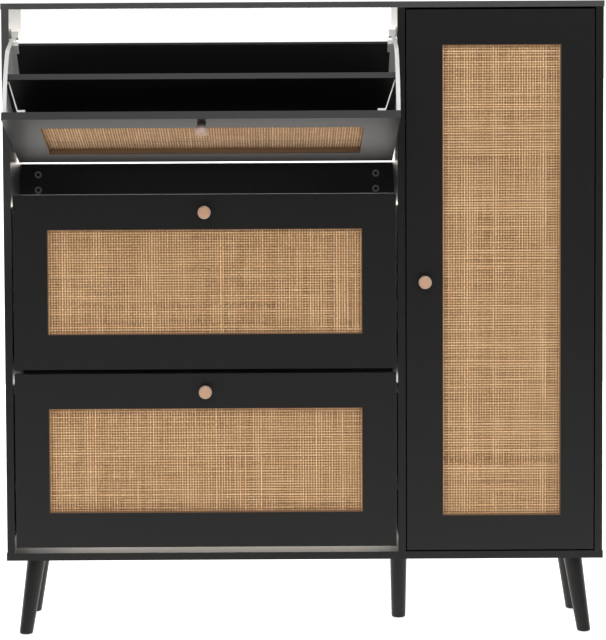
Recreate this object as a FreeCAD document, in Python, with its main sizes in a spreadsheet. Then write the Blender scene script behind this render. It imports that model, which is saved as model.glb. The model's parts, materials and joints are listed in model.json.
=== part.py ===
"""Shoe cabinet: three flip-down drawers beside one tall hinged door, on five tapered legs.

Frame: +X to the right seen from the front, +Y to the back, +Z up, millimetres.
The origin is on the floor at the centre of the middle leg's foot.
Each flip-down drawer is modelled closed in its own pivot frame and then placed; the top one
stands open at its stop, the other two and the door are shut.
"""
import FreeCAD, Part
import os
import re

doc = FreeCAD.newDocument("shoe_cabinet")
V = FreeCAD.Vector

# ---------------------------------------------------------------- driving dimensions (mm, degrees)
DIMS = [
    ("bay_left", 772), ("bay_right", 380), ("inner_height", 1093), ("depth", 240),
    ("board", 15), ("top_board", 12), ("overhang", 1.5), ("leg_height", 154), ("middle_back", 148),
    ("leg_side_in", 55), ("leg_end_in", 46), ("leg_top_rad", 18.5), ("leg_foot_rad", 13.5),
    ("leg_splay", 8), ("foot_round", 3.5), ("middle_top_rad", 18), ("bolt_rad", 4),
    ("drawer_gap", 9.4), ("front_gap", 3.5), ("front_low_gap", 11.5), ("front_top_gap", 9.7),
    ("border_side", 68), ("border_end", 70), ("recess", 9.5), ("weave", 1.5), ("lip", 8),
    ("rim", 0.8), ("knob_in", 35), ("knob_rad", 13), ("knob_head", 12), ("knob_neck", 11),
    ("neck_rad", 8.5), ("knob_bevel", 2.5),
    ("open_angle", 73), ("pivot_back", 39), ("pin_rad", 4), ("hub_rad", 9),
    ("frame_gap", 2.5), ("web", 2.5), ("flange", 8), ("flange_wall", 3), ("arc_drop", 26.5),
    ("rear_clear", 40), ("frame_low", 18), ("floor_board", 9), ("divider_board", 12),
    ("divider_drop", 45.5), ("divider_lean", 10), ("rear_board", 6), ("rear_rise", 99),
    ("rear_lean", 26), ("rear_socket", 10), ("clip", 15), ("rib", 2.5), ("tab_reach", 44),
    ("tab_wide", 14), ("corner_rise", 93), ("corner_lean", 30),
    ("stop_gap", 0.3), ("stop_wall", 1.8), ("run_gap", 0.06),
    ("door_gap", 2.5), ("door_low_gap", 3), ("door_top_gap", 4.5), ("door_border", 69.5),
    ("door_shift", 2.5),
    ("axis_in", 20), ("cup_rad", 17.5), ("cup_deep", 11.5), ("hinge_end", 100),
    ("hinge_pin_rad", 1.5), ("arm_wide", 12), ("arm_wall", 2.5), ("arm_reach", 27),
    ("shelf_front", 42), ("back_sheet", 3), ("peg_rad", 2.5), ("peg_long", 18),
    ("rail_height", 81.5), ("rail_over", 48), ("cam_rad", 7.5), ("cam_in", 34), ("cam_step", 32),
    ("cam_up", 2.5),
    ("fit", 0.1),
]
sheet = doc.addObject("Spreadsheet::Sheet", "Dims")
for row, (alias, value) in enumerate(DIMS, start=1):
    sheet.set("A%d" % row, alias.replace("_", " "))
    sheet.set("B%d" % row, str(value))
    sheet.setAlias("B%d" % row, alias)
doc.recompute()

# derived sizes, written once as expressions of the driving ones
DERIVED = {
    "x_left": "(-board/2 - bay_left)",                 # inner face of the left side
    "x_div": "(-board/2)",                             # divider, left face
    "x_right": "(board/2 + bay_right)",                # inner face of the right side
    "y_front": "(-middle_back)",
    "z_low": "(leg_height + board)",                   # top face of the bottom panel
    "z_high": "(leg_height + board + inner_height)",   # underside of the top panel
    "front_wide": "(bay_left - 2*front_gap)",
    "bay_mid": "(-board/2 - bay_left/2)",
    "door_wide": "(bay_right - 2*door_gap)",
    "door_high": "(inner_height - door_low_gap - door_top_gap)",
    "frame_in": "(frame_gap + web)",
    "front_height": "((inner_height - front_low_gap - front_top_gap - 2*drawer_gap)/3)",
    "front_pitch": "(front_height + drawer_gap)",
    "pivot_up": "(front_height/3 + 2.5)",                    # pivot above the front's lower edge
    "arc_rad": "(front_height - pivot_up - arc_drop)",
    "frame_rear": "(depth - rear_clear)",              # rear limit of the side frames
    "divider_at": "(board + (frame_rear - board)*0.415)",
    "divider_top": "(front_height - divider_drop)",
    "stand": "(frame_low + flange_wall + floor_board - pivot_up)",       # floor board's top face
    "divider_long": "((divider_top - pivot_up - stand - divider_board*sin(divider_lean*1deg))"
                    "/cos(divider_lean*1deg))",
    "divider_y": "(divider_at - pivot_back - divider_long*sin(divider_lean*1deg))",
    "divider_z": "(divider_top - pivot_up - divider_long*cos(divider_lean*1deg))",
    "rear_long": "((rear_rise - stand - rear_board*sin(rear_lean*1deg))/cos(rear_lean*1deg))",
    "rear_y": "(frame_rear - 14 - pivot_back - rear_long*sin(rear_lean*1deg))",
    "rear_z": "(rear_rise - rear_long*cos(rear_lean*1deg))",
    "axis_back": "(board - cup_deep + 6)",             # door axis behind the door's face
}
WORDS = {alias for alias, _ in DIMS}


def ex(text):
    """Expression text: derived names are opened up, driving names point at the sheet."""
    for _ in range(6):
        text = re.sub(r"[A-Za-z_]+", lambda m: DERIVED.get(m.group(0), m.group(0)), text)
    return re.sub(r"[A-Za-z_]+", lambda m: "Dims." + m.group(0) if m.group(0) in WORDS else m.group(0),
                  text)


def bind(obj, prop, value):
    obj.setExpression(prop, ex(str(value)))


def place(obj, x, y, z, turn=None):
    if turn:
        obj.Placement = FreeCAD.Placement(V(0, 0, 0), FreeCAD.Rotation(*turn))
    for axis, value in zip("xyz", (x, y, z)):
        bind(obj, "Placement.Base." + axis, value)
    return obj


def box(name, size, at):
    obj = doc.addObject("Part::Box", name)
    for prop, value in zip(("Length", "Width", "Height"), size):
        bind(obj, prop, value)
    return place(obj, *at)


def turned(obj, axis, angle, x, y, z):
    """Turns a piece by a bound angle about `axis` and moves it to a bound place."""
    obj.Placement = FreeCAD.Placement(V(0, 0, 0), FreeCAD.Rotation(axis, 1))
    bind(obj, "Placement.Rotation.Angle", angle)
    return place(obj, x, y, z)


FORWARD, BACKWARD = V(1, 0, 0), V(-1, 0, 0)      # axes that tip a piece's top forwards or backwards
TURN = {"x": (V(0, 1, 0), 90), "y": (V(1, 0, 0), -90), "z": None}


def rod(name, rad, long, at, along="z"):
    """Cylinder starting at `at` and running along +X, +Y or +Z."""
    obj = doc.addObject("Part::Cylinder", name)
    bind(obj, "Radius", rad)
    bind(obj, "Height", long)
    return place(obj, *at, turn=TURN[along])


def cone(name, rad_start, rad_end, long, at, along="z"):
    obj = doc.addObject("Part::Cone", name)
    bind(obj, "Radius1", rad_start)
    bind(obj, "Radius2", rad_end)
    bind(obj, "Height", long)
    return place(obj, *at, turn=TURN[along])


def join(name, shapes):
    obj = doc.addObject("Part::MultiFuse", name)
    obj.Shapes = shapes
    return obj


def group(name, shapes):
    obj = doc.addObject("Part::Compound", name)
    obj.Links = shapes
    return obj


def cut(name, base, tools):
    obj = doc.addObject("Part::Cut", name)
    obj.Base = base
    obj.Tool = tools[0] if len(tools) == 1 else join(name + "_tools", tools)
    return obj


def common(name, one, two):
    obj = doc.addObject("Part::Common", name)
    obj.Base, obj.Tool = one, two
    return obj


NODES = []


def node(obj, label):
    obj.Label = label
    NODES.append(obj)
    return obj


# ---------------------------------------------------------------- legs and their bolts
LEGS = {  # name: (x of the top centre, y of the top centre, outward signs)
    "front_left": ("x_left - board + leg_side_in", "y_front + leg_end_in", -1, -1),
    "front_right": ("x_right + board - leg_side_in", "y_front + leg_end_in", 1, -1),
    "rear_left": ("x_left - board + leg_side_in", "y_front + depth - leg_end_in", -1, 1),
    "rear_right": ("x_right + board - leg_side_in", "y_front + depth - leg_end_in", 1, 1),
}
leg_bolts, panel_bores = [], []


def round_foot(name, leg):
    """Rounds the edge that lies on the floor."""
    doc.recompute()
    low = [i for i, e in enumerate(leg.Shape.Edges, start=1)
           if max(abs(v.Z) for v in e.Vertexes) < 0.01 and e.BoundBox.ZMax < 0.01]
    obj = doc.addObject("Part::Fillet", name)
    obj.Base = leg
    rad = float(sheet.get("foot_round"))
    obj.Edges = [(i, rad, rad) for i in low]
    return obj


def leg_bolt(tag, x, y):
    """A bolt half in the leg and half in the bottom panel, and the bores it sits in."""
    bolt = rod("bolt_" + tag, "bolt_rad", "20 + board*0.7", (x, y, "leg_height - 20"))
    bore = rod("bore_" + tag, "bolt_rad + fit", "20 + board*0.7", (x, y, "leg_height - 20"))
    panel = rod("panel_bore_" + tag, "bolt_rad + fit", "board*0.7", (x, y, "leg_height"))
    leg_bolts.append(bolt)
    panel_bores.append(panel)
    return bore


for tag, (x, y, sx, sy) in LEGS.items():
    blank = doc.addObject("Part::Cone", "blank_" + tag)
    slope = "(leg_foot_rad - leg_top_rad)/leg_height"
    bind(blank, "Radius1", "leg_foot_rad + (%s)*20" % slope)
    bind(blank, "Radius2", "leg_top_rad - (%s)*20" % slope)
    bind(blank, "Height", "leg_height*sqrt(1 + 2*tan(leg_splay*1deg)^2) + 40")
    blank.Placement = FreeCAD.Placement(V(0, 0, 0), FreeCAD.Rotation(V(sy, -sx, 0), 1))
    bind(blank, "Placement.Rotation.Angle", "atan(sqrt(2)*tan(leg_splay*1deg))")
    spread = "(leg_height + 20/sqrt(1 + 2*tan(leg_splay*1deg)^2))*tan(leg_splay*1deg)"
    for axis, at, sign in (("x", x, sx), ("y", y, sy)):
        bind(blank, "Placement.Base." + axis, "%s + (%d)*%s" % (at, sign, spread))
    bind(blank, "Placement.Base.z", "-20/sqrt(1 + 2*tan(leg_splay*1deg)^2)")
    slab = box("slab_" + tag, ("200", "200", "leg_height"), (x + " - 100", y + " - 100", "0"))
    trimmed = common("trimmed_" + tag, blank, slab)
    rounded = round_foot("rounded_" + tag, trimmed)
    node(cut("leg_" + tag, rounded, [leg_bolt(tag, x, y)]), "leg_" + tag)

middle = cone("blank_middle", "leg_foot_rad + 1", "middle_top_rad", "leg_height", ("0", "0", "0"))
node(cut("leg_middle", round_foot("rounded_middle", middle), [leg_bolt("middle", "0", "0")]),
     "leg_middle")
node(group("leg_bolts", leg_bolts), "leg_bolts")

# ---------------------------------------------------------------- carcass panels
panel_size = ("bay_left + bay_right + 3*board + 2*overhang", "depth", "board")
bottom = box("bottom_blank", panel_size, ("x_left - board - overhang", "y_front", "leg_height"))
node(cut("bottom_panel", bottom, panel_bores), "bottom_panel")
top_size = panel_size[:2] + ("top_board",)
node(box("top_panel", top_size, ("x_left - board - overhang", "y_front", "z_high")), "top_panel")
side = ("board", "depth", "inner_height")
node(box("left_side_panel", side, ("x_left - board", "y_front", "z_low")), "left_side_panel")

# shelves of the tall bay, resting on pegs let into the divider and the right side
SHELVES = 4
pegs, peg_bores = [], {"divider": [], "right": []}
for i in range(1, SHELVES + 1):
    z = "z_low + inner_height*%d/%d - board/2" % (i, SHELVES + 1)
    node(box("shelf_%d" % i, ("bay_right - 2", "depth - shelf_front", "board"),
             ("board/2 + 1", "y_front + shelf_front", z)), "shelf_%d" % i)
    for j, y in enumerate(("y_front + shelf_front + 30", "y_front + depth - 35")):
        tag = "_%d_%d" % (i, j)
        peg_z = z + " - peg_rad"
        for wall, x in (("divider", "board/2"), ("right", "x_right")):
            pegs.append(rod("peg_%s%s" % (wall, tag), "peg_rad", "peg_long",
                            (x + " - peg_long/2", y, peg_z), "x"))
            start = "board/2 - peg_long/2" if wall == "divider" else "x_right"
            peg_bores[wall].append(rod("peg_bore_%s%s" % (wall, tag), "peg_rad + fit", "peg_long/2",
                                       (start, y, peg_z), "x"))
node(cut("divider_panel", box("divider_blank", side, ("x_div", "y_front", "z_low")),
         peg_bores["divider"]), "divider_panel")
node(cut("right_side_panel", box("right_blank", side, ("x_right", "y_front", "z_low")),
         peg_bores["right"]), "right_side_panel")
node(group("shelf_pegs", pegs), "shelf_pegs")
node(box("right_back_sheet", ("bay_right + 2*board - 4", "back_sheet", "inner_height + board"),
         ("x_div + 2", "y_front + depth", "leg_height + board/2")), "right_back_sheet")

# rear rails behind the drawers, each held at both ends by two cam locks
cams, cam_bolts = [], []


def rear_rail(label, drawer):
    z = "z_low + front_low_gap + front_pitch*%d + front_height + rail_over - rail_height" % drawer
    face = "y_front + depth - board"
    blank = box(label + "_blank", ("bay_left", "board", "rail_height"), ("x_left", face, z))
    bores = []
    for side_tag, x_cam, x_bolt in (("left", "x_left + cam_in", "x_left"),
                                    ("right", "x_div - cam_in", "x_div - cam_in + cam_rad - fit")):
        for k in (0, 1):
            tag = "_%s_%s_%d" % (label, side_tag, k)
            zc = z + " + rail_height/2 + cam_up + cam_step*(%d - 0.5)" % k
            bores.append(rod("cam_bore" + tag, "cam_rad", "12", (x_cam, face, zc), "y"))
            bores.append(rod("bolt_bore" + tag, "3.5", "cam_in - cam_rad + 2",
                             (x_bolt + (" - 1" if side_tag == "right" else ""), face + " + 7", zc), "x"))
            body = rod("cam_body" + tag, "cam_rad - fit", "12", (x_cam, face, zc), "y")
            socket = rod("cam_socket" + tag, "3.2", "4", (x_cam, face, zc), "y")
            cams.append(cut("cam" + tag, body, [socket]))
            cam_bolts.append(rod("cam_bolt" + tag, "3", "cam_in - cam_rad + fit",
                                 (x_bolt, face + " + 7", zc), "x"))
    node(cut(label, blank, bores), label)


rear_rail("upper_rail", 1)
rear_rail("lower_rail", 0)
node(group("cam_locks", cams), "cam_locks")
node(group("cam_bolts", cam_bolts), "cam_bolts")


# ---------------------------------------------------------------- woven fronts, shared by drawers and door
def woven_front(prefix, wide, high, border_x, border_z, x, y, z, shift="0", extra_cuts=()):
    """Frame, woven sheet and backing of a front whose outer face is at y and lower left is x, z."""
    win = ("%s - 2*%s" % (wide, border_x), "%s - 2*%s" % (high, border_z))
    wx, wz = "%s + %s + %s" % (x, border_x, shift), "%s + %s" % (z, border_z)
    blank = box(prefix + "_blank", (wide, "board", high), (x, y, z))
    hole = box(prefix + "_window", (win[0], "board", win[1]), (wx, y, wz))
    rebate = box(prefix + "_rebate", (win[0] + " + 2*lip", "board", win[1] + " + 2*lip"),
                 (wx + " - lip", y + " + recess", wz + " - lip"))
    front = cut(prefix + "_frame", blank, [hole, rebate] + list(extra_cuts))
    sheet_part = box(prefix + "_sheet", (win[0] + " + 2*lip", "weave", win[1] + " + 2*lip"),
                     (wx + " - lip", y + " + recess", wz + " - lip"))
    edge_out = box(prefix + "_edge_out", (win[0], "recess - rim", win[1]), (wx, y + " + rim", wz))
    edge_in = box(prefix + "_edge_in", (win[0] + " - 2*rim", "recess", win[1] + " - 2*rim"),
                  (wx + " + rim", y, wz + " + rim"))
    edging = cut(prefix + "_edging", edge_out, [edge_in])
    weave = join(prefix + "_weave", [sheet_part, edging])
    backing = box(prefix + "_backing_sheet", (win[0] + " + 2*lip", "board - recess - weave",
                  win[1] + " + 2*lip"),
                  (wx + " - lip", y + " + recess + weave", wz + " - lip"))
    return front, weave, backing


def knob(name, x, y, z):
    """Round knob standing out towards -Y from the face at y: neck, then a bevelled head."""
    return join(name, [
        rod(name + "_neck", "neck_rad", "knob_neck", (x, y + " - knob_neck", z), "y"),
        rod(name + "_head", "knob_rad", "knob_head - knob_bevel",
            (x, y + " - knob_neck - knob_head + knob_bevel", z), "y"),
        cone(name + "_bevel", "knob_rad - knob_bevel", "knob_rad", "knob_bevel",
             (x, y + " - knob_neck - knob_head", z), "y"),
    ])


# ---------------------------------------------------------------- flip-down drawers
def side_frame(name, hand):
    """Moulded side of a drawer in the pivot frame; hand is -1 for the left side, +1 for the right."""
    outer = "bay_left/2 - frame_gap"

    def across(start, wide):
        """x of a piece that starts `start` inwards of the frame's outer face and is `wide` deep."""
        if hand < 0:
            return "-(%s) + %s" % (outer, start)
        return "%s - (%s) - (%s)" % (outer, start, wide)

    def piece(tag, start, wide, y, dy, z, dz):
        return box(name + "_" + tag, (wide, dy, dz), (across(start, wide), y, z))

    def outline(tag, wide, less):
        """Arc about the pivot, cut off by a sloping plane at the rear; `less` insets both."""
        disc = rod(name + tag + "_disc", "arc_rad - %s" % less, wide, (across("0", wide), "0", "0"), "x")
        slab = box(name + tag + "_slab", (wide, "2*arc_rad", "3*arc_rad"),
                   (across("0", wide), "-2*arc_rad - %s" % less, "-1.5*arc_rad"))
        slab = turned(group(name + tag + "_slope", [slab]), FORWARD, "corner_lean",
                      "0", "frame_rear - pivot_back", "corner_rise")
        return common(name + tag, disc, slab)

    def socket(tag, lean, y, z, bits):
        """Ribs that hold a leaning board: (name, reach, y, thickness, z, height) along the board."""
        ribs = [piece(tag + "_" + bit, "0", reach, at, thick, low, high)
                for bit, reach, at, thick, low, high in bits]
        return turned(join(name + "_" + tag, ribs), BACKWARD, lean, "0", y, z)

    y0, z0 = "(board - pivot_back)", "(frame_low - pivot_up)"     # front and low limits
    long_y, long_z = "(frame_rear - board)", "(arc_rad + pivot_up - frame_low)"
    limits = {wide: piece("limits_" + wide, "0", wide, y0, long_y, z0, long_z)
              for wide in ("web", "flange")}
    web = common(name + "_web", outline("_plate", "web", "0"), limits["web"])
    ring = cut(name + "_ring", outline("_ring_out", "flange", "0"),
               [outline("_ring_in", "flange", "flange_wall")])
    top_front = "(sqrt(arc_rad^2 - (pivot_back - board)^2))"
    lug_z = top_front + " - tab_wide - 2"
    solid = [
        web, common(name + "_arc", ring, limits["flange"]),
        piece("front_rib", "0", "flange", y0, "flange_wall", z0, top_front + " - %s - 1" % z0),
        piece("rear_rib", "0", "flange", "frame_rear - pivot_back - flange_wall", "flange_wall", z0,
              "corner_rise - %s - 1" % z0),
        piece("low_rib", "0", "flange", y0, long_y, z0, "flange_wall"),
        rod(name + "_hub", "hub_rad", "flange", (across("0", "flange"), "0", "0"), "x"),
        piece("lug", "tab_reach - 15", "15", y0, "12", lug_z, "tab_wide"),
        socket("divider_socket", "divider_lean", "divider_y", "divider_z", [
            ("behind", "flange", "divider_board", "rib", "2", "divider_long + 2"),
            ("low_clip", "flange", "-rib", "rib", "2", "30"),
            ("top_clip", "flange + 2", "-rib", "rib", "divider_long - 16", "8")]),
        socket("rear_socket", "rear_lean", "rear_y", "rear_z", [
            ("before", "rear_socket + web", "-rib", "rib", "2", "rear_long - 10"),
            ("clip_face", "clip + web", "-rib", "rib", "rear_long - 22", "24"),
            ("clip_cap", "clip + web", "-rib", "rear_board + 2*rib", "rear_long", "2"),
            ("behind", "flange", "rear_board", "rib", "2", "rear_long")]),
    ]
    for k, (z, reach) in enumerate(((lug_z, "tab_reach"), ("50", "tab_reach/2"),
                                    ("-70", "tab_reach/2"))):
        solid.append(piece("tab_%d" % k, "0", reach, y0, "flange_wall", z, "tab_wide"))
    # thin strut from the lug on the front to the clip at the top of the middle board
    strut = doc.addObject("Part::Wedge", name + "_strut")
    for prop, inset in (("X", "(tab_reach - 14)"), ("X2", "(flange + 1)")):
        middle_x = "%d*(%s - %s)" % (hand, outer, inset)
        bind(strut, prop + "min", middle_x + " - 1.2")
        bind(strut, prop + "max", middle_x + " + 1.2")
    for prop, z in (("Z", top_front + " - 8"), ("Z2", "divider_top - pivot_up - 11.5")):
        bind(strut, prop + "min", z + " - 1.2")
        bind(strut, prop + "max", z + " + 1.2")
    bind(strut, "Ymin", y0 + " + 6")
    bind(strut, "Ymax", "divider_at - pivot_back - 4")
    solid.append(strut)
    # finger at the rear with the boss that meets the stop when the drawer is fully open
    solid.append(piece("finger", "0", "flange", "frame_rear - pivot_back - flange_wall",
                       "26 + flange_wall", "51", "12"))
    solid.append(piece("finger_head", "0", "13", "frame_rear - pivot_back + 12", "14", "51", "12"))
    boss = box(name + "_boss", ("frame_gap", "12", "12"),
               ("%s*(bay_left/2 - 0.4)%s" % (hand, "" if hand < 0 else " - frame_gap"),
                "frame_rear - pivot_back + 14", "51"))
    solid.append(boss)
    holes = [
        rod(name + "_pin_hole", "pin_rad + run_gap", "flange + 2", (across("-1", "flange + 2"), "0", "0"),
            "x"),
        piece("window_a", "-1", "web + 2", y0 + " + 10", "18", "34", "110"),
        piece("window_b", "-1", "web + 2", "divider_at - pivot_back + 10", "22", "0", "120"),
    ]
    return cut(name, join(name + "_solid", solid), holes)


def drawer(tag, index, angle):
    """One flip-down drawer: every piece in the pivot frame, then placed and turned as one."""
    pivot_z = "z_low + front_low_gap + front_pitch*%d + pivot_up" % index
    pivot = ("bay_mid", "y_front + pivot_back", pivot_z)
    front, weave, backing = woven_front(
        tag, "front_wide", "front_height", "border_side", "border_end",
        "-front_wide/2", "-pivot_back", "-pivot_up")
    grip = knob(tag + "_knob", "0", "-pivot_back", "front_height - pivot_up - knob_in")
    wide = "(bay_left - 2*frame_in)"
    floor_part = box(tag + "_floor", (wide, "frame_rear - board - 2*flange_wall", "floor_board"),
                     ("-%s/2" % wide, "board + flange_wall - pivot_back", "stand - floor_board"))
    mid = turned(box(tag + "_mid", (wide, "divider_board", "divider_long"), ("0", "0", "0")),
                 BACKWARD, "divider_lean", "-%s/2" % wide, "divider_y", "divider_z")
    rear_wide = "(%s - 8)" % wide
    rear = turned(box(tag + "_rear", (rear_wide, "rear_board", "rear_long"), ("0", "0", "0")),
                  BACKWARD, "rear_lean", "-%s/2" % rear_wide, "rear_y", "rear_z")
    pieces = [(front, "front_frame"), (weave, "rattan"), (backing, "backing"), (grip, "knob"),
              (side_frame(tag + "_side_left", -1), "side_frame_left"),
              (side_frame(tag + "_side_right", 1), "side_frame_right"),
              (floor_part, "floor_board"), (mid, "middle_board"), (rear, "rear_board")]
    for obj, label in pieces:
        if obj.TypeId == "Part::Box":
            obj = group(tag + "_" + label + "_placed", [obj])
        node(turned(obj, FORWARD, angle, *pivot), "%s_%s" % (tag, label))

    # what the cabinet's sides carry for this drawer: two pins on plates and two stops
    pins, stops = [], []
    for hand, side_tag in ((-1, "left"), (1, "right")):
        x_plate = "bay_mid + %d*bay_left/2%s" % (hand, "" if hand < 0 else " - 1.5")
        x_pin = "bay_mid + %d*bay_left/2%s" % (hand, "" if hand < 0 else " - frame_gap - flange")
        plate = rod("%s_plate_%s" % (tag, side_tag), "15", "1.5", (x_plate, pivot[1], pivot[2]), "x")
        pin = rod("%s_pin_%s" % (tag, side_tag), "pin_rad", "frame_gap + flange",
                  (x_pin, pivot[1], pivot[2]), "x")
        pins.append(join("%s_bracket_%s" % (tag, side_tag), [plate, pin]))
        stop = box("%s_stop_%s" % (tag, side_tag), ("stop_wall", "14", "10"),
                   ("%d*bay_left/2%s" % (hand, "" if hand < 0 else " - stop_wall"),
                    "frame_rear - pivot_back + 14", "63 + stop_gap"))
        stops.append(turned(group("%s_stop_turned_%s" % (tag, side_tag), [stop]), FORWARD,
                            "open_angle", *pivot))
    return pins, stops


all_pins, all_stops = [], []
for tag, index, angle in (("bottom_drawer", 0, "0"), ("middle_drawer", 1, "0"),
                          ("top_drawer", 2, "open_angle")):
    pins, stops = drawer(tag, index, angle)
    all_pins += pins
    all_stops += stops
node(group("pivot_brackets", all_pins), "pivot_brackets")
node(group("drawer_stops", all_stops), "drawer_stops")

# ---------------------------------------------------------------- tall door and its hinges
axis_x, axis_y = "(x_right - door_gap - axis_in)", "(y_front + axis_back)"
cup_x = "(%s - 2)" % axis_x
door_z = "(z_low + door_low_gap)"
HINGE_Z = (door_z + " + hinge_end", door_z + " + door_high/2", door_z + " + door_high - hinge_end")
cup_bores = [rod("cup_bore_%d" % k, "cup_rad", "cup_deep + 1", (cup_x, "y_front + board - cup_deep", z),
                 "y") for k, z in enumerate(HINGE_Z)]
front, weave, backing = woven_front("door", "door_wide", "door_high", "door_border", "border_end",
                                    "board/2 + door_gap", "y_front", door_z, "door_shift", cup_bores)
node(front, "door_front_frame")
node(weave, "door_rattan")
node(backing, "door_backing")
node(knob("door_knob", "board/2 + door_gap + knob_in + 1", "y_front", door_z + " + door_high/2"),
     "door_knob")
cups, pins, arms, plates = [], [], [], []
for k, z in enumerate(HINGE_Z):
    base = "y_front + board - cup_deep"
    shell = join("cup_shell_%d" % k, [
        rod("cup_out_%d" % k, "cup_rad", "cup_deep", (cup_x, base, z), "y"),
        rod("cup_rim_%d" % k, "cup_rad + 2.5", "1", (cup_x, "y_front + board", z), "y")])
    hollow = rod("cup_in_%d" % k, "cup_rad - 1.5", "cup_deep + 2", (cup_x, base + " + 1", z), "y")
    cups.append(cut("cup_%d" % k, shell, [hollow]))
    pin_half = "sqrt((cup_rad - 1.5)^2 - (2 + hinge_pin_rad)^2)"
    pins.append(rod("door_pin_%d" % k, "hinge_pin_rad", "2*" + pin_half,
                    (axis_x, axis_y, "%s - %s" % (z, pin_half))))
    low = z + " - arm_wide/2"
    eye = rod("eye_%d" % k, "4", "arm_wide", (axis_x, axis_y, low))
    strap = doc.addObject("Part::Box", "strap_%d" % k)           # leaves the cup at 45 degrees
    bind(strap, "Length", "arm_reach - 4")
    bind(strap, "Width", "arm_wall")
    bind(strap, "Height", "arm_wide")
    strap.Placement = FreeCAD.Placement(V(0, 0, 0), FreeCAD.Rotation(V(0, 0, 1), 135))
    place(strap, axis_x + " + arm_wall*0.354", axis_y + " + arm_wall*0.354", low)
    rise = box("rise_%d" % k, ("arm_wall", "arm_reach - 14", "arm_wide"),
               (axis_x + " - (arm_reach - 4)*0.7071", axis_y + " + (arm_reach - 4)*0.7071 - 1", low))
    bridge = box("bridge_%d" % k, ("(arm_reach - 4)*0.7071 + axis_in + door_gap - 3", "arm_wall",
                                   "arm_wide"),
                 (axis_x + " - (arm_reach - 4)*0.7071", axis_y + " + arm_reach", low))
    arms.append(cut("arm_%d" % k, join("arm_solid_%d" % k, [eye, strap, rise, bridge]),
                    [rod("eye_hole_%d" % k, "hinge_pin_rad + run_gap", "arm_wide + 2",
                         (axis_x, axis_y, low + " - 1")),
                     box("arm_trim_%d" % k, ("60", "30", "arm_wide + 2"),
                         (axis_x + " - 50", axis_y + " + arm_reach + arm_wall", low + " - 1"))]))
    plates.append(box("plate_%d" % k, ("3", "52", "45"),
                      ("x_right - 3", axis_y + " + arm_reach - 3", z + " - 22.5")))
node(group("hinge_cups", cups), "hinge_cups")
node(group("hinge_pins", pins), "hinge_pins")
node(group("hinge_arms", arms), "hinge_arms")
node(group("hinge_plates", plates), "hinge_plates")

# ---------------------------------------------------------------- check and write
doc.recompute()
for obj in doc.Objects:
    if "Invalid" in obj.State or "Error" in obj.State:
        raise RuntimeError("%s did not compute: %s" % (obj.Name, obj.State))
    if hasattr(obj, "Shape") and (obj.Shape.isNull() or not obj.Shape.isValid()):
        raise RuntimeError("%s has no valid shape" % obj.Name)
os.makedirs("parts", exist_ok=True)
for obj in NODES:
    if obj.Shape.Volume < 1:
        raise RuntimeError("%s is empty" % obj.Label)
    obj.Shape.exportStep(os.path.join("parts", obj.Label + ".step"))
    print("%-34s %2d solid(s) %12.0f mm3" % (obj.Label, len(obj.Shape.Solids), obj.Shape.Volume))
box_all = Part.makeCompound([obj.Shape for obj in NODES]).BoundBox
print("nodes", len(NODES), "size", box_all)
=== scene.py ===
# %% [markdown]
# # A shoe cabinet around its CAD frame
# The CAD model gives every board, leg and fitting in metres: X to the right, Y to the back, Z up.
# This script keeps those pieces where they are, gives them materials, and swaps the plain woven
# sheets and knobs for finer surfaces that fill the same space and move with the same bodies.

# %% Load the frame
import json
import math

import bpy
import numpy as np
from mathutils import Matrix, Vector


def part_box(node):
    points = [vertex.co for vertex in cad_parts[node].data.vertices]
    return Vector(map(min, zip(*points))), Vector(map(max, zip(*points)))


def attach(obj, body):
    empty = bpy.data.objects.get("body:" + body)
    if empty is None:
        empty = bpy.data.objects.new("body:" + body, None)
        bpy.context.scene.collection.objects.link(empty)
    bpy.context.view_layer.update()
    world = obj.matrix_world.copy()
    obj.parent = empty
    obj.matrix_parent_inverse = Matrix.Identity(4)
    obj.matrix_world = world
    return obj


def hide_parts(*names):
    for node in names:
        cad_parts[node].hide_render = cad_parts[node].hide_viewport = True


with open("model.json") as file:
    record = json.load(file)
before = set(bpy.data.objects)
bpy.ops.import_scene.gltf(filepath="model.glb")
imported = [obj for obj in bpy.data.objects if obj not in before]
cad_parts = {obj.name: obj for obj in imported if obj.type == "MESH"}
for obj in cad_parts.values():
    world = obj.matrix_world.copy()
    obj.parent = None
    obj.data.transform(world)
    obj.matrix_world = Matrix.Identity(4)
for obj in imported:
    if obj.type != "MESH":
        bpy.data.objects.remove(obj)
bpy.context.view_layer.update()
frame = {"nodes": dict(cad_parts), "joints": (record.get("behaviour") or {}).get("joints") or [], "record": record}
rng = np.random.default_rng(7)
MM = 0.001

# %% [markdown]
# ## Where each front sits
# A front is described in its own flat coordinates: `x` across, `a` millimetres behind its outer
# face and `u` millimetres above its lower edge. A drawer turns about a pivot 39 mm behind the face
# and 119.5 mm above the edge. Modelling each front flat and then carrying it over is simpler than
# modelling it at a slant, so one function does it: rotate by the standing angle about X, then add
# the pivot's position.

# %% Front placement
PIVOT_BACK, PIVOT_UP = 39.0, 119.5      # mm behind the face, and above the lower edge
DRAWER = (765, 351, 68, 70)             # width, height, side border and end border in mm
DOOR = (375, 1085.5, 69.5, 70)
FRONTS = {"top_drawer": DRAWER, "middle_drawer": DRAWER, "bottom_drawer": DRAWER, "door": DOOR}
WINDOW_SHIFT = {"door": 2.5}            # mm by which a woven window sits right of its front's middle
joints = {j["name"]: j for j in frame["joints"]}


def open_angle(body):
    """Degrees by which a body stands open at rest: minus its joint's lower limit."""
    return -joints[body + "_flip"]["range_deg"][0] if body.endswith("drawer") else 0.0


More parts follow.
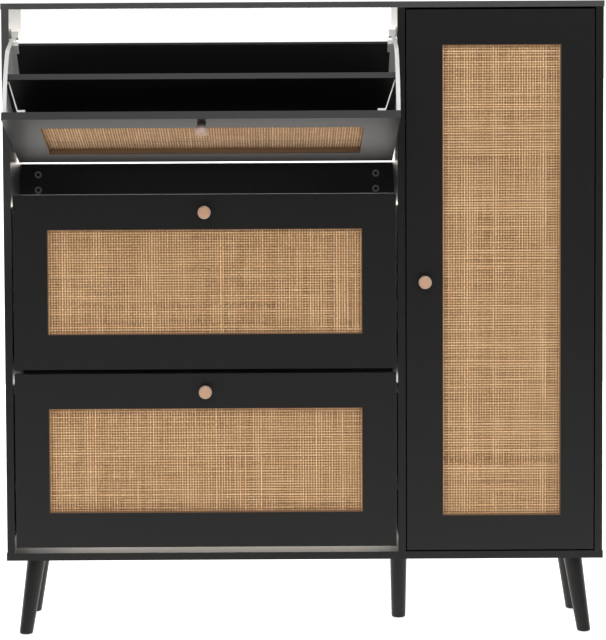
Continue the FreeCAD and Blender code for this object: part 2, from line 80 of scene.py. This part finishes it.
def from_front(points, body):
    """Points (x, a, u) in mm on a front -> metres in the cabinet.

    With t the standing angle, b = a - 39 and v = u - 119.5, a drawer's point goes to
    y = py + b cos t - v sin t,  z = pz + b sin t + v cos t.
    The door stands shut, so its points are only moved to its frame."""
    p = np.asarray(points, float)
    if body == "door":
        low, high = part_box("door_front_frame")
        return np.stack([(low.x + high.x) / 2 + p[..., 0] * MM, low.y + p[..., 1] * MM,
                         low.z + p[..., 2] * MM], -1)
    px, py, pz = joints[body + "_flip"]["pos_m"]
    t = math.radians(open_angle(body))
    b, v = (p[..., 1] - PIVOT_BACK) * MM, (p[..., 2] - PIVOT_UP) * MM
    return np.stack([px + p[..., 0] * MM, py + b * math.cos(t) - v * math.sin(t),
                     pz + b * math.sin(t) + v * math.cos(t)], -1)


def window(body):
    """Half width, lower edge and upper edge in mm of a front's woven window."""
    wide, high, side, end = FRONTS[body]
    return wide / 2 - side, end, high - end


def from_window(points, body):
    """As from_front, with x measured from the middle of the woven window."""
    shift = np.array([WINDOW_SHIFT.get(body, 0.0), 0, 0])
    return from_front(np.asarray(points, float) + shift, body)


for body in FRONTS:
    print(body, "stands open by", open_angle(body), "degrees")

# %% [markdown]
# ## Small mesh tools
# Strands, sheets and knobs are all built as lists of points and quads, which is the most direct way
# to make many thin, regular shapes. Every object's origin stays at zero, as a CAD piece's does.

# %% Mesh tools


def make_object(name, verts, faces, smooth=True, values=None):
    """Mesh object from vertices and faces; values is a dict of per-vertex float attributes."""
    mesh = bpy.data.meshes.new(name)
    mesh.from_pydata([tuple(v) for v in verts], [], [tuple(f) for f in faces])
    mesh.update()
    for key, data in (values or {}).items():
        mesh.attributes.new(key, "FLOAT", "POINT").data.foreach_set(
            "value", np.asarray(data, np.float32))
    mesh.polygons.foreach_set("use_smooth", [smooth] * len(mesh.polygons))
    obj = bpy.data.objects.new(name, mesh)
    bpy.context.scene.collection.objects.link(obj)
    return obj


def grid_faces(rows, cols, start):
    """Quads of a rows x cols grid of vertices numbered row by row from start."""
    r, c = np.meshgrid(np.arange(rows - 1), np.arange(cols - 1), indexing="ij")
    i = (start + r * cols + c).ravel()
    return np.stack([i, i + 1, i + cols + 1, i + cols], -1)


# %% [markdown]
# ## Materials
# A helper sets a Principled shader from plain numbers. What several finishes share, the faint
# grain of the laminate and the mottling of cane, is one node group that gives a colour and a
# height, so each finish only names its own strengths.

# %% Material helpers
GRAIN_DEPTH = 0.0004            # m: height of the grain that the bump suggests


def material(name, color, rough, metal=0.0, ior=1.5):
    """A Principled material with plain values; returns it, its node tree and its shader."""
    mat = bpy.data.materials.new(name)
    mat.use_nodes = True
    shader = mat.node_tree.nodes["Principled BSDF"]
    shader.inputs["Base Color"].default_value = (*color, 1)
    shader.inputs["Roughness"].default_value = rough
    shader.inputs["Metallic"].default_value = metal
    shader.inputs["IOR"].default_value = ior
    return mat, mat.node_tree, shader


def grain_group():
    """Node group: Color x (1 + Variation x (noise - 0.5)) -> Color, and the noise -> Height."""
    tree = bpy.data.node_groups.new("surface grain", "ShaderNodeTree")
    for name, kind in (("Color", "NodeSocketColor"), ("Variation", "NodeSocketFloat"),
                       ("Scale", "NodeSocketFloat")):
        tree.interface.new_socket(name, in_out="INPUT", socket_type=kind)
    for name, kind in (("Color", "NodeSocketColor"), ("Height", "NodeSocketFloat")):
        tree.interface.new_socket(name, in_out="OUTPUT", socket_type=kind)
    new, link = tree.nodes.new, tree.links.new
    inp, out = new("NodeGroupInput"), new("NodeGroupOutput")
    coord, noise = new("ShaderNodeTexCoord"), new("ShaderNodeTexNoise")
    noise.inputs["Detail"].default_value = 6
    link(coord.outputs["Object"], noise.inputs["Vector"])
    link(inp.outputs["Scale"], noise.inputs["Scale"])
    spread = new("ShaderNodeMath")
    spread.operation = "SUBTRACT"
    link(noise.outputs["Fac"], spread.inputs[0])
    spread.inputs[1].default_value = 0.5
    amount = new("ShaderNodeMath")
    amount.operation = "MULTIPLY_ADD"
    link(spread.outputs[0], amount.inputs[0])
    link(inp.outputs["Variation"], amount.inputs[1])
    amount.inputs[2].default_value = 1.0
    scale = new("ShaderNodeVectorMath")
    scale.operation = "SCALE"
    link(inp.outputs["Color"], scale.inputs[0])
    link(amount.outputs[0], scale.inputs["Scale"])
    link(scale.outputs[0], out.inputs["Color"])
    link(noise.outputs["Fac"], out.inputs["Height"])
    return tree


GRAIN = grain_group()


def add_grain(tree, shader, variation, scale):
    """Put the grain group before the shader's Base Color; returns the group's node."""
    node = tree.nodes.new("ShaderNodeGroup")
    node.node_tree = GRAIN
    node.inputs["Variation"].default_value = variation
    node.inputs["Scale"].default_value = scale
    tree.links.new(node.outputs["Color"], shader.inputs["Base Color"])
    return node


def grained(name, color, rough, variation=0.3, scale=60.0, bump=0.05, **more):
    """Principled material whose colour and bump come from the grain group."""
    mat, tree, shader = material(name, color, rough, **more)
    node = add_grain(tree, shader, variation, scale)
    node.inputs["Color"].default_value = (*color, 1)
    lift = tree.nodes.new("ShaderNodeBump")
    lift.inputs["Strength"].default_value = bump
    lift.inputs["Distance"].default_value = GRAIN_DEPTH
    tree.links.new(node.outputs["Height"], lift.inputs["Height"])
    tree.links.new(lift.outputs["Normal"], shader.inputs["Normal"])
    return mat


print("shared group:", GRAIN.name, "|", len(GRAIN.nodes), "nodes")

# %% [markdown]
# The front edges of the top panel and the left side look paler the higher they are, where light from
# above catches them. That light is painted: the finish itself turns paler there, by the piece's own
# coordinates, so the effect stays put in every view.

# %% Painted highlight on the front edges
PALE_FROM, PALE_TO = 0.7, 1.27  # m above the floor where an edge starts to pale, and is palest
EDGE_FRONT = -0.1478            # m: only what lies in front of this is a front edge


def with_painted_edge_light(name, color, edge_light, **finish):
    """Grained material whose front edge turns paler with height, a painted highlight, up to the given edge colour
    at the top.

    The factor is (y < EDGE_FRONT) * clamp((z - PALE_FROM) / (PALE_TO - PALE_FROM))."""
    mat = grained(name, color, **finish)
    tree = mat.node_tree
    new, link = tree.nodes.new, tree.links.new
    coord, axes = new("ShaderNodeTexCoord"), new("ShaderNodeSeparateXYZ")
    rise = new("ShaderNodeMapRange")
    link(coord.outputs["Object"], axes.inputs[0])
    rise.inputs["From Min"].default_value = PALE_FROM
    rise.inputs["From Max"].default_value = PALE_TO
    link(axes.outputs["Z"], rise.inputs["Value"])
    at_front, both = new("ShaderNodeMath"), new("ShaderNodeMath")
    at_front.operation, both.operation = "LESS_THAN", "MULTIPLY"
    at_front.inputs[1].default_value = EDGE_FRONT
    link(axes.outputs["Y"], at_front.inputs[0])
    link(at_front.outputs[0], both.inputs[0])
    link(rise.outputs["Result"], both.inputs[1])
    ramp = new("ShaderNodeValToRGB")
    ramp.color_ramp.elements[0].color = (*color, 1)
    ramp.color_ramp.elements[1].color = (*edge_light, 1)
    link(both.outputs[0], ramp.inputs["Fac"])
    group = next(n for n in tree.nodes if n.type == "GROUP")
    link(ramp.outputs["Color"], group.inputs["Color"])
    return mat


print("front edges turn pale from", PALE_FROM, "to", PALE_TO, "m")

# %% [markdown]
# Each record slot gets one finish. The black boards are a satin laminate: almost no diffuse colour,
# and a reflection that grows strongly at glancing angles, which is what brightens the inner sides.
# The rear rails looked too dark in that finish, so they have a lighter copy of it: painted light on the rails.

# %% Finishes for the CAD nodes
BLACK = (0.0075, 0.0073, 0.0074)
LAMINATE = {"rough": 0.36, "variation": 0.35, "scale": 90, "bump": 0.04, "ior": 1.38}
FINISH = {
    "board": grained("black laminate", BLACK, **LAMINATE),
    "hardboard": grained("black hardboard", (0.014, 0.013, 0.0125), 0.6, 0.4, 120, 0.06),
    "white_plastic": grained("moulded white", (0.78, 0.78, 0.76), 0.42, 0.04, 40, 0.02),
    "grey_plastic": grained("moulded grey", (0.42, 0.42, 0.41), 0.45, 0.06, 40, 0.02),
    "zinc": grained("zinc plate", (0.5, 0.5, 0.49), 0.35, 0.15, 200, 0.03, metal=1.0),
    "leg": grained("black lacquer", (0.008, 0.0073, 0.0072), 0.34, 0.3, 70, 0.03, ior=1.38),
    "rattan": grained("cane edging", (0.26, 0.15, 0.08), 0.6, 0.5, 300, 0.1),
    "knob": grained("knob", (0.45, 0.26, 0.16), 0.45, 0.2, 200, 0.03),
}
# Painted highlight: the front edges of these boards turn paler towards the top.
PAINTED_EDGE_LIGHT = with_painted_edge_light("laminate with painted edge light", BLACK, (0.066, 0.066, 0.068), **LAMINATE)
# Painted light: a lighter copy of the laminate for the rear rails.
RAIL_PAINTED_LIGHT = grained("rail laminate with painted light", (0.045, 0.046, 0.05), **LAMINATE)
slots = {s["node"]: s["material_slot"] for s in frame["record"]["subparts"]}


def finish_of(node):
    """Material of a CAD node: its slot's finish, or a variant with painted light for the pale front edges or the
    rails.
    """
    if node in ("top_panel", "left_side_panel"):
        return PAINTED_EDGE_LIGHT
    return RAIL_PAINTED_LIGHT if node.endswith("_rail") else FINISH[slots[node]]


for name, obj in frame["nodes"].items():
    obj.data.materials.clear()
    obj.data.materials.append(finish_of(name))
print("finishes:", ", ".join(FINISH))

# %% [markdown]
# ## Woven cane
# The real sheets are split cane woven over and under at right angles. A bump map would not show the
# holes, so each strand is a real ribbon, three vertices wide with a raised middle. Upright strand
# `i` passes over level strand `j` when `i + j` is even, so its height follows `cos(pi k)` from
# crossing to crossing. Widths, offsets and tones vary from strand to strand, as split cane does.

# %% Strand builder
PITCH = 5.3                     # mm between strands
WEAVE_DEPTH = 10.2              # mm behind the face: middle of the weave
RISE = 0.32                     # mm each strand rises and dips
CROWN = 0.16                    # mm: a strand's middle stands this much high, its edges this much low
HALF_WIDTH = (1.06, 1.38)       # mm: narrowest and widest half of a strand
SWELL = 0.08                    # mm by which the half width varies along a strand
OFFSET_SD, WANDER = 0.16, 0.18  # mm: sideways, from strand to strand and along a strand
TONE_SD, TONE_WAVE = 0.6, 0.5   # tone from strand to strand and point to point, and along a strand
FULL_TURN = 6.3                 # radians, rounded: range of a random phase


def slow_wave(s, shortest, longest):
    """sin(s / r + phase), with r drawn between two lengths in mm and then the phase."""
    return np.sin(s / rng.uniform(shortest, longest) + rng.uniform(0, FULL_TURN))


def strands(count, length, across, parity):
    """Ribbons of the given length, side by side; returns vertices, faces and a tone per vertex.

    A vertex is (s along the strand, offset across the set, height towards the viewer), and the
    height of strand i is RISE cos(pi (k + i + parity)), where k counts crossings along s."""
    crossings = int(round(length / PITCH))
    steps = crossings * 2 + 1
    s = np.linspace(-length / 2, length / 2, steps)
    k = (s + length / 2) / length * crossings - 0.5
    verts, faces, tones = [], [], []
    for i in range(count):
        mid = (i + 0.5) / count * across - across / 2 + rng.normal(0, OFFSET_SD)
        wander = WANDER * slow_wave(s, 25, 60)
        half = rng.uniform(*HALF_WIDTH) + SWELL * slow_wave(s, 8, 20)
        height = RISE * np.cos(np.pi * (k + i + parity))
        rows = np.stack([
            np.stack([s, mid + wander - half, height - CROWN], -1),
            np.stack([s, mid + wander, height + CROWN], -1),
            np.stack([s, mid + wander + half, height - CROWN], -1)], 1)
        faces.append(grid_faces(steps, 3, start=i * steps * 3))
        verts.append(rows.reshape(-1, 3))
        tone = rng.normal(0, TONE_SD) + TONE_WAVE * slow_wave(s, 15, 60)
        tones.append(np.repeat(tone + rng.normal(0, TONE_SD, steps), 3))
    return np.concatenate(verts), np.concatenate(faces), np.concatenate(tones)


def woven_panel(body):
    """Upright and level strands of one front in one mesh, kept inside its window."""
    half, low, top = window(body)
    w, h, middle = 2 * half, top - low, (low + top) / 2
    v1, f1, tone1 = strands(int(round(w / PITCH)), h, w, 0)
    v2, f2, tone2 = strands(int(round(h / PITCH)), w, h, 1)
    upright = np.stack([v1[:, 1], WEAVE_DEPTH - v1[:, 2], v1[:, 0] + middle], -1)
    level = np.stack([v2[:, 0], WEAVE_DEPTH - v2[:, 2], v2[:, 1] + middle], -1)
    points = np.concatenate([upright, level])
    points[:, 0] = np.clip(points[:, 0], -half, half)
    points[:, 2] = np.clip(points[:, 2], low, top)
    return make_object(body + "_cane", from_window(points, body),
                       np.concatenate([f1[:, ::-1], f2 + len(v1)]),
                       values={"strand": np.concatenate([tone1, tone2])})


print("crossings across a drawer:", round(2 * window("top_drawer")[0] / PITCH))

# %% [markdown]
# The cane runs from brown to pale straw with each strand's own tone, with a fine fibre streak on
# top. A colour ramp read from a value on the vertices gives every strand its own colour with one
# material. The knobs use the same helper, with a zone along their profile instead of a tone.

# %% Cane material
TONE_LIMIT = 2.5                # values from minus this to this cover the whole ramp


def ramp_material(name, attribute, stops, rough, streak):
    """Principled material coloured by a per-vertex value through a colour ramp.

    The first two of `stops` (position, colour) are the ramp's ends; others are added between."""
    mat, tree, shader = material(name, stops[0][1], rough)
    new, link = tree.nodes.new, tree.links.new
    attr, ramp = new("ShaderNodeAttribute"), new("ShaderNodeValToRGB")
    attr.attribute_name = attribute
    span = new("ShaderNodeMapRange")
    span.inputs["From Min"].default_value = -TONE_LIMIT
    span.inputs["From Max"].default_value = TONE_LIMIT
    link(attr.outputs["Fac"], span.inputs["Value"])
    link(span.outputs["Result"], ramp.inputs["Fac"])
    for k, (at, color) in enumerate(stops):
        stop = ramp.color_ramp.elements[k] if k < 2 else ramp.color_ramp.elements.new(at)
        stop.position, stop.color = at, (*color, 1)
    link(ramp.outputs["Color"], add_grain(tree, shader, streak, 400.0).inputs["Color"])
    return mat


CANE = ramp_material("woven cane", "strand",
                     [(0.0, (0.34, 0.165, 0.065)), (1.0, (0.93, 0.62, 0.35)),
                      (0.5, (0.66, 0.395, 0.19))], rough=0.55, streak=0.5)
# Painted shade: a dark brown sheet behind the weave, seen through its holes.
SHADE_SHEET_FINISH = grained("painted shade sheet", (0.02, 0.0095, 0.004), 0.9, 0.3, 200, 0.1)
print("cane and the cloth behind it:", CANE.name, "|", SHADE_SHEET_FINISH.name)

# %% [markdown]
# Each front gets three pieces in place of its plain sheet: the weave, a dark sheet of painted shade
# close behind it, so that the holes look deep, and a thin edging round the recess. All three ride on
# the front's body, so they turn with it.

# %% Build the four cane panels
# Depth of the painted shade sheet behind the weave.
SHADE_SHEET = (10.75, 10.98)          # mm behind the face: front and back of the dark cloth
EDGING_DEPTH = (0.8, 9.8)       # mm behind the face: front and back of the edging
EDGING_THICK = 0.8              # mm


def box_mesh(low, high):
    """Eight corners and six outward quads of an axis-aligned box in front coordinates."""
    (x0, a0, u0), (x1, a1, u1) = low, high
    v = [(x, a, u) for x in (x0, x1) for a in (a0, a1) for u in (u0, u1)]
    f = [(0, 1, 3, 2), (4, 6, 7, 5), (0, 4, 5, 1), (2, 3, 7, 6), (0, 2, 6, 4), (1, 5, 7, 3)]
    return v, f


def joined_boxes(name, body, boxes):
    """One object made of several boxes given in window coordinates."""
    verts, faces = [], []
    for low, high in boxes:
        v, f = box_mesh(low, high)
        faces += [tuple(i + len(verts) for i in q) for q in f]
        verts += v
    return make_object(name, from_window(verts, body), faces, smooth=False)


def edging_boxes(half, low, top):
    """Two upright bars and two level ones between them, along the four sides of a window."""
    t, (front, back) = EDGING_THICK, EDGING_DEPTH
    return [((-half, front, low), (-half + t, back, top)), ((half - t, front, low), (half, back, top)),
            ((-half + t, front, low), (half - t, back, low + t)),
            ((-half + t, front, top - t), (half - t, back, top))]


for body in FRONTS:
    half, low, top = window(body)
    cane = woven_panel(body)
    shade_sheet = joined_boxes(body + "_painted_shade_sheet", body, [((-half, SHADE_SHEET[0], low), (half, SHADE_SHEET[1], top))])
    edging = joined_boxes(body + "_edging", body, edging_boxes(half, low, top))
    for obj, finish in ((cane, CANE), (shade_sheet, SHADE_SHEET_FINISH), (edging, FINISH["rattan"])):
        obj.data.materials.append(finish)
        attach(obj, body)
        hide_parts(body + "_rattan")
    print(body, "cane:", len(cane.data.polygons), "quads")

# %% [markdown]
# ## Knobs
# The real knob is turned: a neck, then a pale bevelled head with a warm flat face. The neck next to
# the front is coloured near black, painted shade where the knob meets the front. Turning a profile
# about its axis, as on a lathe, gives every ring the right radius from one short list.

# %% Turned knobs
# The lowest zone, -2.5, colours the neck next to the front near black: painted shade.
PROFILE = [  # (radius, mm in front of the face, zone value)
    (8.5, 0, -2.5), (8.4, 2, -2.5), (7.8, 4.8, -2.5), (7.6, 6, -0.9), (8.2, 10, -0.7),
    (8.6, 10.9, -0.7), (12.2, 11.0, 0), (12.9, 11.6, 0), (13.0, 12.6, 0), (13.0, 20.2, 0),
    (12.8, 20.9, 0), (10.9, 22.7, 0), (10.4, 22.9, 2.5), (9.9, 23.0, 2.5), (5.0, 23.0, 2.5),
    (0.05, 23.0, 2.5)]
KNOB_SIDES = 48
KNOB_IN, KNOB_DOWN = 36, 35     # mm from the door's left edge, and below a drawer front's top edge


def knob(body, x, u):
    """Lathe of PROFILE about the line through (x, u) square to the front."""
    sides = KNOB_SIDES
    ang = np.linspace(0, 2 * np.pi, sides, endpoint=False)
    rings = [[(x + r * math.cos(t), -out, u + r * math.sin(t)) for t in ang] for r, out, _ in PROFILE]
    verts = np.array(rings).reshape(-1, 3)
    faces = []
    for i in range(len(PROFILE) - 1):
        for j in range(sides):
            k = (j + 1) % sides
            faces.append((i * sides + j, i * sides + k, (i + 1) * sides + k, (i + 1) * sides + j))
    zones = np.repeat([z for _, _, z in PROFILE], sides)
    return make_object(body + "_turned_knob", from_front(verts, body), faces,
                       values={"zone": zones})


# The ramp's darkest stop is painted shade for the neck next to the front.
KNOB = ramp_material("turned knob", "zone",
                     [(0.0, (0.03, 0.022, 0.018)), (1.0, (0.56, 0.33, 0.21)),
                      (0.5, (0.5, 0.36, 0.29))], rough=0.42, streak=0.15)
for body, (wide, high, *_) in FRONTS.items():
    at = (-wide / 2 + KNOB_IN, high / 2) if body == "door" else (0, high - KNOB_DOWN)
    obj = knob(body, *at)
    obj.data.materials.append(KNOB)
    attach(obj, body)
    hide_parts(body + "_knob")
    print(obj.name, "at", at, "mm on its front")

# %% [markdown]
# ## Cam-lock sockets
# Each cam lock on the rear rails has a hollow in the middle of its face, which lies in shade. The CAD
# model has the hollow, and a small dark disc half a millimetre inside it paints that shade, so the
# hollow reads as dark.

# %% Painted shade in the cam-lock sockets
CAM_X = (-745.5, -41.5)         # mm: the two columns of cam locks
PAIR_Z, PAIR_STEP = 541.25, 360.4       # mm: middle of the lower pair of locks, and up to the next
CAM_HALF_GAP = 16               # mm from the middle of a pair to each lock
SOCKET_RADIUS, SOCKET_Y = 3.15, 77.5    # mm: the locks' faces are at Y 77
SOCKET_SIDES = 20


def disc(x, z):
    """Points of one socket's rim in metres, round (x, z) in mm."""
    turns = [2 * math.pi * k / SOCKET_SIDES for k in range(SOCKET_SIDES)]
    return [((x + SOCKET_RADIUS * math.cos(t)) * MM, SOCKET_Y * MM,
             (z + SOCKET_RADIUS * math.sin(t)) * MM) for t in turns]


rims = [disc(x, PAIR_Z + PAIR_STEP * i + step)
        for x in CAM_X for i in (0, 1) for step in (-CAM_HALF_GAP, CAM_HALF_GAP)]
sockets = make_object("cam_sockets", sum(rims, []),
                      [range(i * SOCKET_SIDES, (i + 1) * SOCKET_SIDES) for i in range(len(rims))],
                      smooth=False)
# Painted shade: a near-black disc inside each hollow.
sockets.data.materials.append(grained("socket shadow", (0.006, 0.006, 0.006), 0.8))
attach(sockets, "cabinet")
print("cam sockets:", len(rims))

# %% [markdown]
# ## Studio
# The cabinet stands on a wide pale floor that runs up to white, as in a catalogue picture. The floor
# glows softly under and behind the cabinet, and fades to plain paint in front, where a brighter
# floor would wash out the black fronts. Far out it is also brightened for the camera alone, so that
# it meets the white surroundings without a line.

# %% Floor
FLOOR_HALF = 40                 # m from the middle to each side
GLOW, GLOW_Y = 0.7, (-1.6, -0.4)        # glow behind the fronts; the Y in m where it starts, is full
FAR_GLOW, FAR_AT = 1.0, (2.0, 4.5)      # added where the camera looks; m away: starts, is full


def ranged(tree, source, low, high, top):
    """Map Range node: 0 at `low` to `top` at `high`, flat outside; returns its output."""
    node = tree.nodes.new("ShaderNodeMapRange")
    node.inputs["From Min"].default_value, node.inputs["From Max"].default_value = low, high
    node.inputs["To Max"].default_value = top
    tree.links.new(source, node.inputs["Value"])
    return node.outputs["Result"]


def floor_material():
    """Matt paint whose emission is is_camera_ray * far glow + near glow."""
    mat, tree, shader = material("pale floor", (0.86, 0.845, 0.83), 0.9)
    new, link = tree.nodes.new, tree.links.new
    shader.inputs["Specular IOR Level"].default_value = 0.0
    shader.inputs["Emission Color"].default_value = (1, 1, 1, 1)
    coord, axes = new("ShaderNodeTexCoord"), new("ShaderNodeSeparateXYZ")
    link(coord.outputs["Object"], axes.inputs[0])
    away, path = new("ShaderNodeVectorMath"), new("ShaderNodeLightPath")
    away.operation = "LENGTH"
    link(coord.outputs["Object"], away.inputs[0])
    total = new("ShaderNodeMath")
    total.operation = "MULTIPLY_ADD"
    link(path.outputs["Is Camera Ray"], total.inputs[0])
    link(ranged(tree, away.outputs["Value"], *FAR_AT, FAR_GLOW), total.inputs[1])
    link(ranged(tree, axes.outputs["Y"], *GLOW_Y, GLOW), total.inputs[2])
    link(total.outputs[0], shader.inputs["Emission Strength"])
    return mat


r = FLOOR_HALF
floor = make_object("floor", [(-r, -r, 0), (r, -r, 0), (r, r, 0), (-r, r, 0)], [(0, 1, 2, 3)],
                    smooth=False)
floor.data.materials.append(floor_material())
print("floor:", 2 * r, "m wide, glow", GLOW)

# %% [markdown]
# The surroundings are white to look at but dim as a light, or they would flood the black boards.
# The light comes from large softboxes instead. They shine on one side only and the camera doesn't
# see them, so the cabinet can be looked at from all round. The wide one behind stands in for a
# white wall.

# %% World and lights
AMBIENT, SEEN_WHITE = 0.09, 1.1         # strength of the surroundings as a light, and looked at
scene = bpy.context.scene


def white_room():
    """World of strength AMBIENT, raised to SEEN_WHITE for the camera's own rays."""
    world = bpy.data.worlds.new("room")
    world.use_nodes = True
    nodes, links = world.node_tree.nodes, world.node_tree.links
    nodes["Background"].inputs["Color"].default_value = (1, 1, 1, 1)
    seen, strength = nodes.new("ShaderNodeLightPath"), nodes.new("ShaderNodeMath")
    strength.operation = "MULTIPLY_ADD"
    links.new(seen.outputs["Is Camera Ray"], strength.inputs[0])
    strength.inputs[1].default_value = SEEN_WHITE - AMBIENT
    strength.inputs[2].default_value = AMBIENT
    links.new(strength.outputs[0], nodes["Background"].inputs["Strength"])
    return world


def softbox(name, at, target, wide, tall, watts, tint=(1, 1, 1)):
    """One-sided rectangular light at `at`, aimed at `target` and hidden from the camera."""
    data = bpy.data.lights.new(name, "AREA")
    data.shape, data.size, data.size_y = "RECTANGLE", wide, tall
    data.energy, data.color = watts, tint
    obj = bpy.data.objects.new(name, data)
    obj.location = at
    obj.rotation_euler = (Vector(target) - Vector(at)).to_track_quat("-Z", "Y").to_euler()
    obj.visible_camera = False
    scene.collection.objects.link(obj)


scene.world = white_room()
softbox("left softbox", (-3.2, -3.2, 2.6), (-0.2, 0, 0.7), 2.2, 2.2, 42)
softbox("right softbox", (2.8, -3.2, 2.6), (-0.2, 0, 0.7), 2.2, 2.2, 42)
softbox("overhead", (-0.2, -2.6, 3.3), (-0.2, -0.2, 0.8), 2.4, 2.4, 60)
softbox("white wall", (0, 3.2, 4), (0, 0, 4), 18, 8, 860)
softbox("behind the open bay", (-0.4, 1.7, 0.75), (-0.4, -0.25, 1.0), 0.9, 0.9, 12, (1, 0.88, 0.72))
scene.view_settings.view_transform = "Standard"

# %% [markdown]
# ## Camera
# A long lens stands level with the top of the cabinet, as in furniture pictures, and is tilted down
# a little. The rest of the framing is lens shift. Tilt makes the uprights close in towards the
# floor, and shift doesn't, but views from other sides keep the shift and lose that much of the
# cabinet, so the two are balanced.

# %% Camera
SENSOR, LENS = 36, 137.2                # mm
SHIFT_X, SHIFT_Y = 0.0519, -0.2487      # as a share of the picture's longer side
PITCH_DEG, ROLL_DEG = -3.5, 0.305       # down is negative
EYE = (-0.2623, -5.0, 1.2549)           # m
cam_data = bpy.data.cameras.new("camera")
cam = bpy.data.objects.new("camera", cam_data)
scene.collection.objects.link(cam)
scene.camera = cam
cam_data.sensor_width, cam_data.lens = SENSOR, LENS
cam_data.shift_x, cam_data.shift_y = SHIFT_X, SHIFT_Y
cam_data.clip_end = 100
pitch, roll = math.radians(PITCH_DEG), math.radians(ROLL_DEG)
forward = Vector((0, math.cos(pitch), math.sin(pitch)))
level_right = Vector((1, 0, 0))
level_up = level_right.cross(forward)
right = level_right * math.cos(roll) - level_up * math.sin(roll)
up = level_right * math.sin(roll) + level_up * math.cos(roll)
cam.matrix_world = Matrix((
    (right.x, up.x, -forward.x, EYE[0]), (right.y, up.y, -forward.y, EYE[1]),
    (right.z, up.z, -forward.z, EYE[2]), (0, 0, 0, 1)))
print("lens %.1f mm, tilted %.1f degrees" % (LENS, PITCH_DEG))
